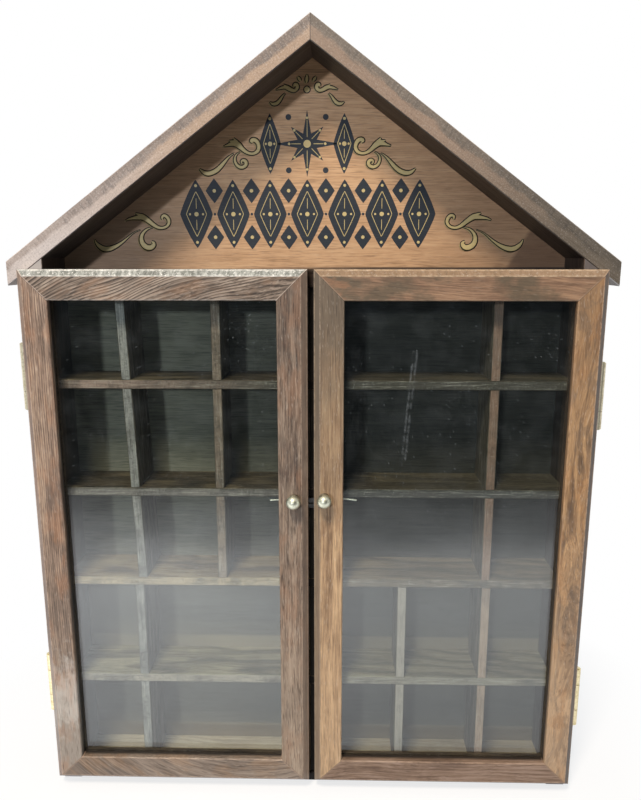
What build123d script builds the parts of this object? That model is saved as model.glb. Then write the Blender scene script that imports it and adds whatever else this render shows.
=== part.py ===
from build123d import *
import os
from math import cos, radians, sqrt, tan

# Thimble display case: a house-shaped wooden case with a grid of small compartments
# behind two glazed, mitred overlay doors, and an open gable recess under the roof.
# Millimetres. +X right, +Y towards the back, +Z up; the origin is on the base, in the
# middle of the overall width and depth.

# ---------------------------------------------------------------- driving dimensions
# case
case_w = 330.0            # over the two side boards, and over the pair of closed doors
case_depth = 40.0         # front edge to back edge of the side boards
side_t = 12.0             # thickness of a side board
bottom_t = 6.0            # thickness of the bottom board
attic_t = 10.0            # thickness of the attic board, the floor of the gable recess
knee_h = 6.5              # inner face of a side board above the attic board
roof_pitch = 36.6         # slope of the roof, in degrees
roof_t = 11.0             # thickness of a roof board
eave_overhang = 8.7       # plumb-cut eave beyond the side board
edge_ease = 0.5           # small sanded edges of the boards

# back panel
back_t = 3.0              # plywood thickness
back_inset = 2.5          # panel's back face inside the case's back plane
rabbet_w = 5.0            # width of the rabbet in the side and roof boards
bottom_rabbet_h = 3.0     # height of the rabbet in the bottom board

# compartment grid: clear sizes between the boards
grid_t = 5.6              # thickness of the shelves and dividers
grid_recess = 1.5         # front edges of the grid behind the case's front plane
row_heights = [53.6, 60.8, 52.9, 61.6, 64.1]    # from the attic board down
column_1_top_w = 39.3     # left column at the attic board; its divider leans a little
column_1_foot_w = 45.0    # left column at the third shelf
column_1_low_w = 42.4     # left column in rows 4 and 5
column_3_w = 51.3         # third column in rows 1 to 3
column_4_low_w = 49.1     # right of the middle divider in rows 4 and 5
column_5_w = 42.8         # right column in rows 1 to 3
column_5_low_w = 42.0     # right column in rows 4 and 5
middle_x = 1.5            # middle divider, behind the meeting stiles
shelf_housing = 2.0       # depth of the grooves that hold the shelf ends
attic_housing = 3.0       # depth of the grooves that hold the attic board

# doors
door_t = 10.0             # thickness of the door frames
door_bottom = 6.3         # height of the lower door edges
door_top_lap = 0.5        # upper door edges above the attic board
door_standoff = 0.5       # between the backs of the doors and the case
meeting_gap = 3.6         # between the two doors
member_w = 17.2           # width of the stiles and rails
door_chamfer = 3.5        # around the outside of each door face
inner_ease = 0.6          # around the glazed opening
lip = 5.5                 # wood in front of the glass
glass_rabbet_w = 4.0      # overlap of the frame over the glass
glass_t = 2.0
bead_w = 3.6              # glazing beads behind the glass

# hinges
hinge_len = 39.0
knuckle_r = 2.1
hinge_axis_out = 2.5      # hinge axis outside the side face
leaf_t = 1.0
leaf_reach = 10.0         # leaf on the wood, inwards from the side face
end_knuckle = 10.6        # each of the two end knuckles, which belong to the case leaf
pin_r = 0.9
pin_button_r = 1.5
pin_button_t = 0.5
upper_hinge_drop = {"left": 62.0, "right": 72.3}    # hinge centre below the door's top
lower_hinge_rise = {"left": 64.5, "right": 58.7}    # hinge centre above the door's foot
hinge_screw_pitch = 22.0
hinge_screw_len = 7.0
hinge_screw_r = 0.9
hinge_screw_head_r = 1.9

# knobs
knob_rise = {"left": 192.4, "right": 193.2}    # above the lower door edge
knob_inset = {"left": 8.2, "right": 6.1}       # from each door's meeting edge
knob_ball_r = 4.25
knob_ball_out = 5.4       # centre of the ball in front of the door face
knob_foot_r = 3.2
knob_foot_t = 1.0
knob_neck_r = 2.2
knob_screw_r = 1.2
knob_screw_head_r = 2.3
knob_screw_head_t = 1.6
knob_screw_sunk = 0.4     # head below the back of the stile

# magnetic catch and strikes
catch_ear_w = 51.4        # over the ears
catch_w = 36.0            # folded case
catch_h = 6.2
catch_d = 13.0
catch_sheet = 0.8
catch_ear_t = 1.0
pole_t = 1.5              # each of the two steel pole plates
magnet_recess = 0.8       # magnet behind the pole plates' front edges
catch_screw_r = 0.8
catch_screw_head_r = 1.7
catch_screw_head_t = 0.8
catch_screw_bite = 3.8    # thread in the shelf
strike_r = 5.0
strike_t = 0.8
strike_inset = 6.8        # centre of a strike from the meeting edge
spike_r = 0.8
spike_len = 5.0

# wall hanger, nails and brads
hanger_w = 42.0
hanger_h = 9.0
hanger_t = 0.8
hanger_bow = 0.9          # middle of the toothed strip off the panel
hanger_drop = 46.7        # hanger below the ridge
hanger_end = 4.5          # length of each flat end
hanger_teeth = 9
tooth_h = 2.2
nail_len = 2.4            # hanger nail in the panel
brad_r = 0.6
brad_len = 8.0
brad_head_r = 1.2
brad_head_t = 0.4
brads_per_side = 4
brads_per_roof_board = 3
brads_per_bottom_board = 3
screw_slot_w = 0.6
screw_slot_d = 0.5

# clearances
slot_clear = 0.1          # grid slots and housings, over the board's thickness
panel_clear = 0.3         # back panel in its rabbet
glass_clear = 0.4         # glass in its rabbet
bead_joint = 0.15         # between mitred bead ends
knuckle_clear = 0.3       # between neighbouring knuckles
pin_clear = 0.08          # pin in the door leaf's knuckle
magnet_gap = 0.3          # strike to pole plates, doors closed
catch_clear = 0.3         # middle divider around the catch
head_clear = 0.2          # knob screw's head in its counterbore

# ------------------------------------------------------------------- derived places
knob_reach = knob_ball_out + knob_ball_r
overall_depth = knob_reach + door_t + door_standoff + case_depth
case_back = overall_depth / 2
case_front = case_back - case_depth
door_back = case_front - door_standoff
door_front = door_back - door_t
panel_back = case_back - back_inset
panel_front = panel_back - back_t
glass_front = door_front + lip
glass_back = glass_front + glass_t
grid_front = case_front + grid_recess
lap_y = (grid_front + panel_front) / 2             # where shelves and dividers interlock

outer_x = case_w / 2
inner_x = outer_x - side_t
eave_x = outer_x + eave_overhang
hinge_axis_x = outer_x + hinge_axis_out
hinge_axis_y = (door_back + case_front) / 2
hinge_screw_x = outer_x - leaf_reach / 2

attic_bottom = bottom_t + sum(row_heights) + (len(row_heights) - 1) * grid_t
attic_top = attic_bottom + attic_t
shelf_tops = []
ceiling = attic_bottom
for row_h in row_heights[:-1]:
    shelf_tops.append(ceiling - row_h)
    ceiling = ceiling - row_h - grid_t

roof_slope = tan(radians(roof_pitch))
roof_plumb = roof_t / cos(radians(roof_pitch))     # roof board measured vertically
rabbet_plumb = rabbet_w / cos(radians(roof_pitch))
ridge_z = attic_top + knee_h + inner_x * roof_slope + roof_plumb

door_top = attic_top + door_top_lap
sides = {"left": -1, "right": 1}
hinge_heights = {
    name: (door_top - upper_hinge_drop[name], door_bottom + lower_hinge_rise[name])
    for name in sides
}

os.makedirs("parts", exist_ok=True)


def keep(piece, name):
    """Label a finished piece and write its STEP file."""
    piece.part.label = name
    export_step(piece.part, f"parts/{name}.step")


def upright_plane(y):
    """The XZ plane at depth y; a negative extrusion runs towards the back."""
    return Plane.XZ.offset(-y)


def slab(points, y0, y1, mode=Mode.ADD):
    """Add or cut a flat piece between two depths, outlined by (x, z) points."""
    with BuildSketch(upright_plane(y0)) as face:
        with BuildLine():
            Polyline(*points, close=True)
        make_face()
    extrude(face.sketch, amount=y0 - y1, mode=mode)


def block(x0, x1, y0, y1, z0, z1, mode=Mode.ADD):
    """Add or cut a rectangular block between two corners."""
    slab([(x0, z0), (x1, z0), (x1, z1), (x0, z1)], y0, y1, mode)


def rod(x, z, radius, y0, y1, mode=Mode.ADD):
    """Add or cut a round rod that runs from front to back."""
    with BuildSketch(upright_plane(y0)) as disc:
        with Locations((x, z)):
            Circle(radius)
    extrude(disc.sketch, amount=y0 - y1, mode=mode)


def post(x, y, radius, z0, z1, mode=Mode.ADD):
    """Add or cut a round rod that stands upright."""
    with BuildSketch(Plane.XY.offset(z0)) as disc:
        with Locations((x, y)):
            Circle(radius)
    extrude(disc.sketch, amount=z1 - z0, mode=mode)


def turned(points, x, z, mode=Mode.ADD):
    """Add or cut a piece turned about a front-to-back axis, from (radius, y) points."""
    with BuildSketch(Plane.XY.offset(z)) as half:
        with BuildLine():
            Polyline(*[(x + radius, y) for radius, y in points], close=True)
        make_face()
    revolve(half.sketch, axis=Axis((x, 0, z), (0, 1, 0)), mode=mode)


# ------------------------------------------------------------ rabbet and its brads
def roof_underside(x):
    """Height of the roof's underside at a distance x from the middle."""
    return ridge_z - roof_plumb - abs(x) * roof_slope


def house_outline(half_w, foot_z, above_underside):
    """House-shaped outline that follows the roof's underside at a distance above it."""
    shoulder = roof_underside(half_w) + above_underside
    apex = roof_underside(0) + above_underside
    return [(-half_w, foot_z), (half_w, foot_z), (half_w, shoulder), (0, apex), (-half_w, shoulder)]


def cut_panel_rabbet():
    """Cut the rabbet that holds the back panel out of the board being built."""
    pocket = house_outline(inner_x + rabbet_w, bottom_t - bottom_rabbet_h, rabbet_plumb)
    slab(pocket, panel_front, case_back, Mode.SUBTRACT)


def spread(count, length):
    """Even places along a length, half a step from its ends."""
    return [length * (index + 0.5) / count for index in range(count)]


brad_places = []
for side in sides.values():
    for z in spread(brads_per_side, attic_top):
        brad_places.append((side * (inner_x + rabbet_w / 2), z))
    for x in spread(brads_per_roof_board, inner_x):
        brad_places.append((side * x, roof_underside(x) + rabbet_plumb / 2))
for x in spread(brads_per_bottom_board, 2 * inner_x):
    brad_places.append((x - inner_x, bottom_t - bottom_rabbet_h / 2))
brad_tip = panel_back - brad_len


def cut_brad_holes():
    """Cut the brads' holes in the board being built."""
    for x, z in brad_places:
        rod(x, z, brad_r, brad_tip, panel_back, Mode.SUBTRACT)


with BuildPart() as back_brads:
    for x, z in brad_places:
        rod(x, z, brad_r, brad_tip, panel_back)
        rod(x, z, brad_head_r, panel_back, panel_back + brad_head_t)
keep(back_brads, "back_brads")


# -------------------------------------------------------------------- side boards
def screw_pair(z):
    """Heights of the two screws of a hinge leaf."""
    return (z - hinge_screw_pitch / 2, z + hinge_screw_pitch / 2)


for name, side in sides.items():
    with BuildPart() as side_board:
        outline = [
            (side * outer_x, 0),
            (side * inner_x, 0),
            (side * inner_x, roof_underside(inner_x)),
            (side * outer_x, roof_underside(outer_x)),
        ]
        slab(outline, case_front, case_back)
        chamfer(side_board.edges().filter_by(Axis.Z).sort_by(Axis.Y)[0:2], edge_ease)
        cut_panel_rabbet()
        cut_brad_holes()
        for top in shelf_tops:
            block(side * inner_x, side * (inner_x + shelf_housing), grid_front, panel_front,
                  top - grid_t, top + slot_clear, Mode.SUBTRACT)
        block(side * inner_x, side * (inner_x + attic_housing), case_front, panel_front,
              attic_bottom, attic_top + slot_clear, Mode.SUBTRACT)
        for z in hinge_heights[name]:
            block(side * outer_x, side * (outer_x - leaf_reach), case_front,
                  case_front + leaf_t, z - hinge_len / 2, z + hinge_len / 2, Mode.SUBTRACT)
            for screw_z in screw_pair(z):
                rod(side * hinge_screw_x, screw_z, hinge_screw_r, case_front,
                    case_front + hinge_screw_len, Mode.SUBTRACT)
    keep(side_board, f"{name}_side")

# -------------------------------------------------------- bottom and attic boards
with BuildPart() as bottom_board:
    block(-inner_x, inner_x, case_front, case_back, 0, bottom_t)
    chamfer(bottom_board.edges().filter_by(Axis.X).group_by(Axis.Y)[0], edge_ease)
    cut_panel_rabbet()
    cut_brad_holes()
keep(bottom_board, "bottom_board")

attic_half = inner_x + attic_housing
with BuildPart() as attic_board:
    block(-attic_half, attic_half, case_front, panel_front, attic_bottom, attic_top)
    chamfer(attic_board.edges().filter_by(Axis.X).group_by(Axis.Y)[0], edge_ease)
keep(attic_board, "attic_board")

# -------------------------------------------------------------------- roof boards
for name, side in sides.items():
    with BuildPart() as roof_board:
        outline = [
            (0, ridge_z),
            (0, ridge_z - roof_plumb),
            (side * eave_x, roof_underside(eave_x)),
            (side * eave_x, roof_underside(eave_x) + roof_plumb),
        ]
        slab(outline, case_front, case_back)
        front_edges = roof_board.edges().group_by(Axis.Y)[0]
        chamfer(front_edges.sort_by(Edge.length)[2:4], edge_ease)
        cut_panel_rabbet()
        cut_brad_holes()
    keep(roof_board, f"{name}_roof_board")

# --------------------------------------------------------------------- back panel
hanger_z = ridge_z - hanger_drop
nail_x = (hanger_w - hanger_end) / 2
with BuildPart() as back_panel:
    panel_outline = house_outline(
        inner_x + rabbet_w - panel_clear,
        bottom_t - bottom_rabbet_h + panel_clear,
        rabbet_plumb - panel_clear,
    )
    slab(panel_outline, panel_front, panel_back)
    cut_brad_holes()
    for x in (-nail_x, nail_x):
        rod(x, hanger_z, brad_r, panel_back - nail_len, panel_back, Mode.SUBTRACT)
keep(back_panel, "back_panel")

# ----------------------------------------------------------- catch places on the grid
catch_front = door_back + strike_t + magnet_gap
catch_back = catch_front + catch_d
catch_top = shelf_tops[1] - grid_t
catch_bottom = catch_top - catch_h
ear_bottom = catch_top - catch_ear_t
catch_screw_x = (catch_ear_w + catch_w) / 4
catch_screw_y = (catch_front + catch_back) / 2


# ----------------------------------------------------------------- shelves, dividers
def column_edge(low_w, low_z, high_w, high_z):
    """Centre line of the left divider, from the column's widths at two heights."""
    def centre(z):
        share = (z - low_z) / (high_z - low_z)
        return -inner_x + low_w + share * (high_w - low_w) + grid_t / 2
    return centre


def upright(x):
    """Centre line of an upright divider."""
    return lambda z: x


upper_dividers = {
    "divider_a_upper": column_edge(column_1_foot_w, shelf_tops[2], column_1_top_w, attic_bottom),
    "divider_b": upright(middle_x - grid_t - column_3_w),
    "divider_mid_upper": upright(middle_x),
    "divider_c_upper": upright(inner_x - column_5_w - grid_t / 2),
}
lower_dividers = {
    "divider_a_lower": upright(-inner_x + column_1_low_w + grid_t / 2),
    "divider_mid_lower": upright(middle_x),
    "divider_d": upright(middle_x + grid_t + column_4_low_w),
    "divider_c_lower": upright(inner_x - column_5_low_w - grid_t / 2),
}


def along(centre, half_t, z0, z1, y0, y1, mode=Mode.ADD):
    """A board or slot that follows a divider's centre line between two heights."""
    outline = [
        (centre(z0) - half_t, z0),
        (centre(z0) + half_t, z0),
        (centre(z1) + half_t, z1),
        (centre(z1) - half_t, z1),
    ]
    slab(outline, y0, y1, mode)


# Each shelf is slotted from the back over the dividers that cross it. The third shelf is
# crossed by none: the upper and the lower dividers stop against it.
shelf_half = inner_x + shelf_housing
crossing = [upper_dividers, upper_dividers, {}, lower_dividers]
for number, (top, dividers) in enumerate(zip(shelf_tops, crossing), start=1):
    with BuildPart() as shelf:
        block(-shelf_half, shelf_half, grid_front, panel_front, top - grid_t, top)
        chamfer(shelf.edges().filter_by(Axis.X).group_by(Axis.Y)[0], edge_ease)
        for centre in dividers.values():
            along(centre, (grid_t + slot_clear) / 2, top - grid_t, top, lap_y, panel_front,
                  Mode.SUBTRACT)
        if top - grid_t == catch_top:
            for x in (-catch_screw_x, catch_screw_x):
                post(x, catch_screw_y, catch_screw_r, catch_top, catch_top + catch_screw_bite,
                     Mode.SUBTRACT)
    keep(shelf, f"shelf_{number}")


def build_dividers(dividers, z0, z1, crossed):
    """Dividers between two heights, notched from the front over the shelves they cross."""
    for name, centre in dividers.items():
        with BuildPart() as divider:
            along(centre, grid_t / 2, z0, z1, grid_front, panel_front)
            front_edges = divider.edges().group_by(Axis.Y)[0]
            chamfer(front_edges.sort_by(Edge.length)[2:4], edge_ease)
            for top in crossed:
                block(centre(top) - grid_t, centre(top) + grid_t, grid_front, lap_y,
                      top - grid_t, top + slot_clear, Mode.SUBTRACT)
            if name == "divider_mid_upper":
                block(middle_x - grid_t, middle_x + grid_t, grid_front, catch_back + catch_clear,
                      catch_bottom - catch_clear, catch_top, Mode.SUBTRACT)
        keep(divider, name)


build_dividers(upper_dividers, shelf_tops[2], attic_bottom, shelf_tops[0:2])
build_dividers(lower_dividers, bottom_t, shelf_tops[2] - grid_t, shelf_tops[3:4])


# --------------------------------------------------------------------- door frames
def member_section(edge, inward):
    """Section of a stile or rail as (across, depth) points; edge is its outer side."""
    rabbet = edge + inward * (member_w - glass_rabbet_w)
    inner = edge + inward * member_w
    return [
        (edge, door_front + door_chamfer),
        (edge + inward * door_chamfer, door_front),
        (inner - inward * inner_ease, door_front),
        (inner, door_front + inner_ease),
        (inner, glass_front),
        (rabbet, glass_front),
        (rabbet, door_back),
        (edge, door_back),
    ]


def stile(edge, inward):
    """An upright frame member, mitred at both ends."""
    with BuildSketch(Plane.XY.offset(door_bottom)) as section:
        with BuildLine():
            Polyline(*member_section(edge, inward), close=True)
        make_face()
    extrude(section.sketch, amount=door_top - door_bottom)
    inner = edge + inward * member_w
    mitred = [
        (edge, door_bottom),
        (inner, door_bottom + member_w),
        (inner, door_top - member_w),
        (edge, door_top),
    ]
    slab(mitred, door_front, door_back, Mode.INTERSECT)


def rail(x0, x1, edge, inward):
    """A level frame member, mitred at both ends."""
    with BuildSketch(Plane.YZ.offset(x0)) as section:
        with BuildLine():
            Polyline(*[(depth, z) for z, depth in member_section(edge, inward)], close=True)
        make_face()
    extrude(section.sketch, amount=x1 - x0)
    inner = edge + inward * member_w
    mitred = [(x0, edge), (x0 + member_w, inner), (x1 - member_w, inner), (x1, edge)]
    slab(mitred, door_front, door_back, Mode.INTERSECT)


def hinge_screw(x, z, face, into):
    """A slotted countersunk screw, its head flush; into is -1 forwards, 1 backwards."""
    profile = [
        (0, face),
        (hinge_screw_head_r, face),
        (hinge_screw_r, face + into * leaf_t),
        (hinge_screw_r, face + into * (hinge_screw_len - hinge_screw_r)),
        (0, face + into * hinge_screw_len),
    ]
    turned(profile, x, z)
    slot_floor = face + into * screw_slot_d
    block(x - hinge_screw_head_r, x + hinge_screw_head_r, min(face, slot_floor),
          max(face, slot_floor), z - screw_slot_w / 2, z + screw_slot_w / 2, Mode.SUBTRACT)


strike_z = (catch_top + catch_bottom) / 2
ball_y = door_front - knob_ball_out
neck_top_y = ball_y + sqrt(knob_ball_r**2 - knob_neck_r**2)
screw_head_y = door_back - knob_screw_sunk
screw_seat_y = screw_head_y - knob_screw_head_t
frame_pocket = member_w - glass_rabbet_w

for name, side in sides.items():
    outer_edge = side * outer_x
    meeting_edge = side * meeting_gap / 2
    left_x = min(outer_edge, meeting_edge)
    right_x = max(outer_edge, meeting_edge)
    knob_x = side * (meeting_gap / 2 + knob_inset[name])
    knob_z = door_bottom + knob_rise[name]
    strike_x = side * (meeting_gap / 2 + strike_inset)

    with BuildPart() as hinge_stile:
        stile(outer_edge, -side)
        for z in hinge_heights[name]:
            block(outer_edge, side * (outer_x - leaf_reach), door_back - leaf_t, door_back,
                  z - hinge_len / 2, z + hinge_len / 2, Mode.SUBTRACT)
            for screw_z in screw_pair(z):
                rod(side * hinge_screw_x, screw_z, hinge_screw_r, door_back - hinge_screw_len,
                    door_back, Mode.SUBTRACT)
    keep(hinge_stile, f"{name}_hinge_stile")

    with BuildPart() as meeting_stile:
        stile(meeting_edge, side)
        rod(knob_x, knob_z, knob_screw_r, door_front, door_back, Mode.SUBTRACT)
        rod(knob_x, knob_z, knob_screw_head_r + head_clear, screw_seat_y, door_back,
            Mode.SUBTRACT)
        rod(strike_x, strike_z, spike_r, door_back - spike_len, door_back, Mode.SUBTRACT)
    keep(meeting_stile, f"{name}_meeting_stile")

    with BuildPart() as top_rail:
        rail(left_x, right_x, door_top, -1)
    keep(top_rail, f"{name}_top_rail")

    with BuildPart() as bottom_rail:
        rail(left_x, right_x, door_bottom, 1)
    keep(bottom_rail, f"{name}_bottom_rail")

    # pane of glass, and the four mitred beads that hold it from behind
    pocket_x0, pocket_x1 = left_x + frame_pocket, right_x - frame_pocket
    pocket_z0, pocket_z1 = door_bottom + frame_pocket, door_top - frame_pocket
    with BuildPart() as glass:
        block(pocket_x0 + glass_clear, pocket_x1 - glass_clear, glass_front, glass_back,
              pocket_z0 + glass_clear, pocket_z1 - glass_clear)
    keep(glass, f"{name}_glass")

    with BuildPart() as beads:
        for x, inward in ((pocket_x0, 1), (pocket_x1, -1)):
            inner = x + inward * bead_w
            strip = [
                (x, pocket_z0 + bead_joint),
                (inner, pocket_z0 + bead_w + bead_joint),
                (inner, pocket_z1 - bead_w - bead_joint),
                (x, pocket_z1 - bead_joint),
            ]
            slab(strip, glass_back, door_back)
        for z, inward in ((pocket_z0, 1), (pocket_z1, -1)):
            inner = z + inward * bead_w
            strip = [
                (pocket_x0 + bead_joint, z),
                (pocket_x0 + bead_w + bead_joint, inner),
                (pocket_x1 - bead_w - bead_joint, inner),
                (pocket_x1 - bead_joint, z),
            ]
            slab(strip, glass_back, door_back)
    keep(beads, f"{name}_glazing_beads")

    # ball knob with a neck and a small foot, bored for its screw
    with BuildPart() as knob:
        with BuildSketch(Plane.XY.offset(knob_z)) as half:
            with BuildLine():
                Polyline(
                    (knob_x, ball_y - knob_ball_r),
                    (knob_x, door_front),
                    (knob_x + knob_foot_r, door_front),
                    (knob_x + knob_foot_r, door_front - knob_foot_t / 2),
                    (knob_x + knob_neck_r, door_front - knob_foot_t),
                    (knob_x + knob_neck_r, neck_top_y),
                )
                ThreePointArc(
                    (knob_x + knob_neck_r, neck_top_y),
                    (knob_x + knob_ball_r, ball_y),
                    (knob_x, ball_y - knob_ball_r),
                )
            make_face()
        revolve(half.sketch, axis=Axis((knob_x, 0, knob_z), (0, 1, 0)))
        rod(knob_x, knob_z, knob_screw_r, ball_y, door_front, Mode.SUBTRACT)
    keep(knob, f"{name}_knob")

    with BuildPart() as knob_screw:
        rod(knob_x, knob_z, knob_screw_head_r, screw_seat_y, screw_head_y)
        rod(knob_x, knob_z, knob_screw_r, ball_y, screw_seat_y)
        block(knob_x - knob_screw_head_r, knob_x + knob_screw_head_r,
              screw_head_y - screw_slot_d, screw_head_y,
              knob_z - screw_slot_w / 2, knob_z + screw_slot_w / 2, Mode.SUBTRACT)
    keep(knob_screw, f"{name}_knob_screw")

    # steel strike: a disc with a spike driven into the meeting stile
    with BuildPart() as strike:
        rod(strike_x, strike_z, strike_r, door_back, door_back + strike_t)
        rod(strike_x, strike_z, spike_r, door_back - spike_len, door_back)
    keep(strike, f"{name}_strike")

    with BuildPart() as door_screws:
        for z in hinge_heights[name]:
            for screw_z in screw_pair(z):
                hinge_screw(side * hinge_screw_x, screw_z, door_back, -1)
    keep(door_screws, f"{name}_door_hinge_screws")

with BuildPart() as case_screws:
    for name, side in sides.items():
        for z in hinge_heights[name]:
            for screw_z in screw_pair(z):
                hinge_screw(side * hinge_screw_x, screw_z, case_front, 1)
keep(case_screws, "case_hinge_screws")


# -------------------------------------------------------------------------- hinges
def hinge_leaf(side, z, y0, face, into, knuckles, bore_r):
    """A leaf let into the wood, its knuckles around the pin, and two countersunk holes."""
    axis_x = side * hinge_axis_x
    foot, head = z - hinge_len / 2, z + hinge_len / 2
    block(side * outer_x, side * (outer_x - leaf_reach), y0, y0 + leaf_t, foot, head)
    for z0, z1 in knuckles:
        block(side * outer_x, axis_x, y0, y0 + leaf_t, z0, z1)
        post(axis_x, hinge_axis_y, knuckle_r, z0, z1)
    post(axis_x, hinge_axis_y, bore_r, foot, head, Mode.SUBTRACT)
    for screw_z in screw_pair(z):
        hole = [
            (0, face),
            (hinge_screw_head_r, face),
            (hinge_screw_r, face + into * leaf_t),
            (0, face + into * leaf_t),
        ]
        turned(hole, side * hinge_screw_x, screw_z, Mode.SUBTRACT)


for name, side in sides.items():
    for place, z in zip(("upper", "lower"), hinge_heights[name]):
        foot, head = z - hinge_len / 2, z + hinge_len / 2
        end_knuckles = [(foot, foot + end_knuckle), (head - end_knuckle, head)]
        middle_knuckle = [(foot + end_knuckle + knuckle_clear, head - end_knuckle - knuckle_clear)]

        with BuildPart() as case_leaf:
            hinge_leaf(side, z, case_front, case_front, 1, end_knuckles, pin_r)
        keep(case_leaf, f"{name}_{place}_case_leaf")

        with BuildPart() as door_leaf:
            hinge_leaf(side, z, door_back - leaf_t, door_back, -1, middle_knuckle,
                       pin_r + pin_clear)
        keep(door_leaf, f"{name}_{place}_door_leaf")

        with BuildPart() as pin:
            post(side * hinge_axis_x, hinge_axis_y, pin_r, foot, head)
            for z0, z1 in ((foot - pin_button_t, foot), (head, head + pin_button_t)):
                post(side * hinge_axis_x, hinge_axis_y, pin_button_r, z0, z1)
        keep(pin, f"{name}_{place}_hinge_pin")

# ------------------------------------------------------------------ magnetic catch
case_half = catch_w / 2
cavity_half = case_half - catch_sheet
cavity_back = catch_back - catch_sheet
with BuildPart() as catch_case:
    block(-catch_ear_w / 2, catch_ear_w / 2, catch_front, catch_back, ear_bottom, catch_top)
    block(-case_half, case_half, catch_front, catch_back, catch_bottom, ear_bottom)
    block(-cavity_half, cavity_half, catch_front, cavity_back, catch_bottom + catch_sheet,
          ear_bottom, Mode.SUBTRACT)
    for x in (-catch_screw_x, catch_screw_x):
        post(x, catch_screw_y, catch_screw_r, ear_bottom, catch_top, Mode.SUBTRACT)
keep(catch_case, "catch_case")

upper_pole_z = ear_bottom - pole_t
lower_pole_z = catch_bottom + catch_sheet
with BuildPart() as catch_poles:
    for z in (upper_pole_z, lower_pole_z):
        block(-cavity_half, cavity_half, catch_front, cavity_back, z, z + pole_t)
keep(catch_poles, "catch_pole_plates")

with BuildPart() as magnet:
    block(-cavity_half, cavity_half, catch_front + magnet_recess, cavity_back,
          lower_pole_z + pole_t, upper_pole_z)
keep(magnet, "catch_magnet")

with BuildPart() as catch_screws:
    for x in (-catch_screw_x, catch_screw_x):
        post(x, catch_screw_y, catch_screw_r, ear_bottom, catch_top + catch_screw_bite)
        post(x, catch_screw_y, catch_screw_head_r, ear_bottom - catch_screw_head_t, ear_bottom)
keep(catch_screws, "catch_screws")

# ------------------------------------------------------------ sawtooth wall hanger
strip_half = hanger_w / 2 - hanger_end
tooth_pitch = 2 * strip_half / hanger_teeth
hanger_foot = hanger_z - hanger_h / 2
hanger_head = hanger_z + hanger_h / 2
with BuildPart() as hanger:
    # two flat ends on the panel, and between them the strip, bowed off it
    for side in sides.values():
        block(side * strip_half, side * hanger_w / 2, panel_back, panel_back + hanger_t,
              hanger_foot, hanger_head)
        rod(side * nail_x, hanger_z, brad_r, panel_back, panel_back + hanger_t, Mode.SUBTRACT)
    strip_front = panel_back + hanger_bow - hanger_t / 2
    block(-strip_half, strip_half, strip_front, strip_front + hanger_t, hanger_foot, hanger_head)
    for tooth_x in spread(hanger_teeth, 2 * strip_half):
        x = tooth_x - strip_half
        notch = [
            (x - tooth_pitch / 2, hanger_foot),
            (x + tooth_pitch / 2, hanger_foot),
            (x, hanger_foot + tooth_h),
        ]
        slab(notch, strip_front, strip_front + hanger_t, Mode.SUBTRACT)
keep(hanger, "sawtooth_hanger")

with BuildPart() as hanger_nails:
    for x in (-nail_x, nail_x):
        rod(x, hanger_z, brad_r, panel_back - nail_len, panel_back + hanger_t)
        rod(x, hanger_z, brad_head_r, panel_back + hanger_t, panel_back + hanger_t + brad_head_t)
keep(hanger_nails, "hanger_nails")
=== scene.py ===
import math
from functools import partial

import bpy
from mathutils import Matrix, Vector


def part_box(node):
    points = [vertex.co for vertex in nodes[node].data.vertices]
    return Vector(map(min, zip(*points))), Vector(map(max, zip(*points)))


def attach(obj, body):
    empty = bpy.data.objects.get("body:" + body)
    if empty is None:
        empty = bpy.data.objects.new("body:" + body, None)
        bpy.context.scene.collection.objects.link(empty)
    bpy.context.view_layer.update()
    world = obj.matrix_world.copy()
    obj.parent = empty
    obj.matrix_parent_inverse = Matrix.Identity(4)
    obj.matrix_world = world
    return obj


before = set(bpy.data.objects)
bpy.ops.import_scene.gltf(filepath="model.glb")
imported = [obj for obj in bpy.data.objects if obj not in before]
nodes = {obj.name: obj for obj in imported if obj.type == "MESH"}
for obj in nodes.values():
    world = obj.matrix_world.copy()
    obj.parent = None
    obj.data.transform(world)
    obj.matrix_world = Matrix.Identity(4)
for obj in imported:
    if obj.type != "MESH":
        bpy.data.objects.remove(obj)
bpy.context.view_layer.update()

mm = 0.001
per_mm = (1 / mm, 1 / mm, 1 / mm)

# --- Side boards ----------------------
# Two upright softwood boards, planed and wiped with a dark walnut stain, then sprayed with
# a thin satin lacquer. The grain runs up the board, with open pores that hold the stain.
# The inner faces are painted darkest, as shade; the front edges, as sawn, took little of it,
# and the left one is painted paler as lit, the right one darker as shaded.
UPRIGHT = (0, 90, 0)
LEVEL = (0, 0, 0)


def colour(hex_code):
    """Linear RGBA of an sRGB hex colour."""
    channels = [int(hex_code[i:i + 2], 16) / 255 for i in (1, 3, 5)]
    linear = [c / 12.92 if c <= 0.04045 else ((c + 0.055) / 1.055) ** 2.4 for c in channels]
    return (*linear, 1.0)


def add_node(tree, kind, sockets=None, operation=None, stops=None, **settings):
    """Adds a node. Sockets take numbers, hex colours, sockets or nodes; stops are a ramp's."""
    node = tree.nodes.new("ShaderNode" + kind)
    if operation:
        node.operation = operation
    for name, value in settings.items():
        setattr(node, name, value)
    for key, value in (sockets or {}).items():
        if isinstance(value, bpy.types.Node):
            value = next(output for output in value.outputs if output.enabled)
        if isinstance(value, bpy.types.NodeSocket):
            tree.links.new(value, node.inputs[key])
        else:
            node.inputs[key].default_value = colour(value) if isinstance(value, str) else value
    if stops:
        elements = node.color_ramp.elements
        while len(elements) < len(stops):
            elements.new(1.0)
        for element, (place, tone) in zip(elements, stops):
            element.position = place
            element.color = colour(tone) if isinstance(tone, str) else (tone, tone, tone, 1.0)
    return node


def new_material(name):
    """An empty node material, and the function that adds a node to its tree."""
    material = bpy.data.materials.new(name)
    material.use_nodes = True
    material.node_tree.nodes.clear()
    return material, partial(add_node, material.node_tree)


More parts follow.
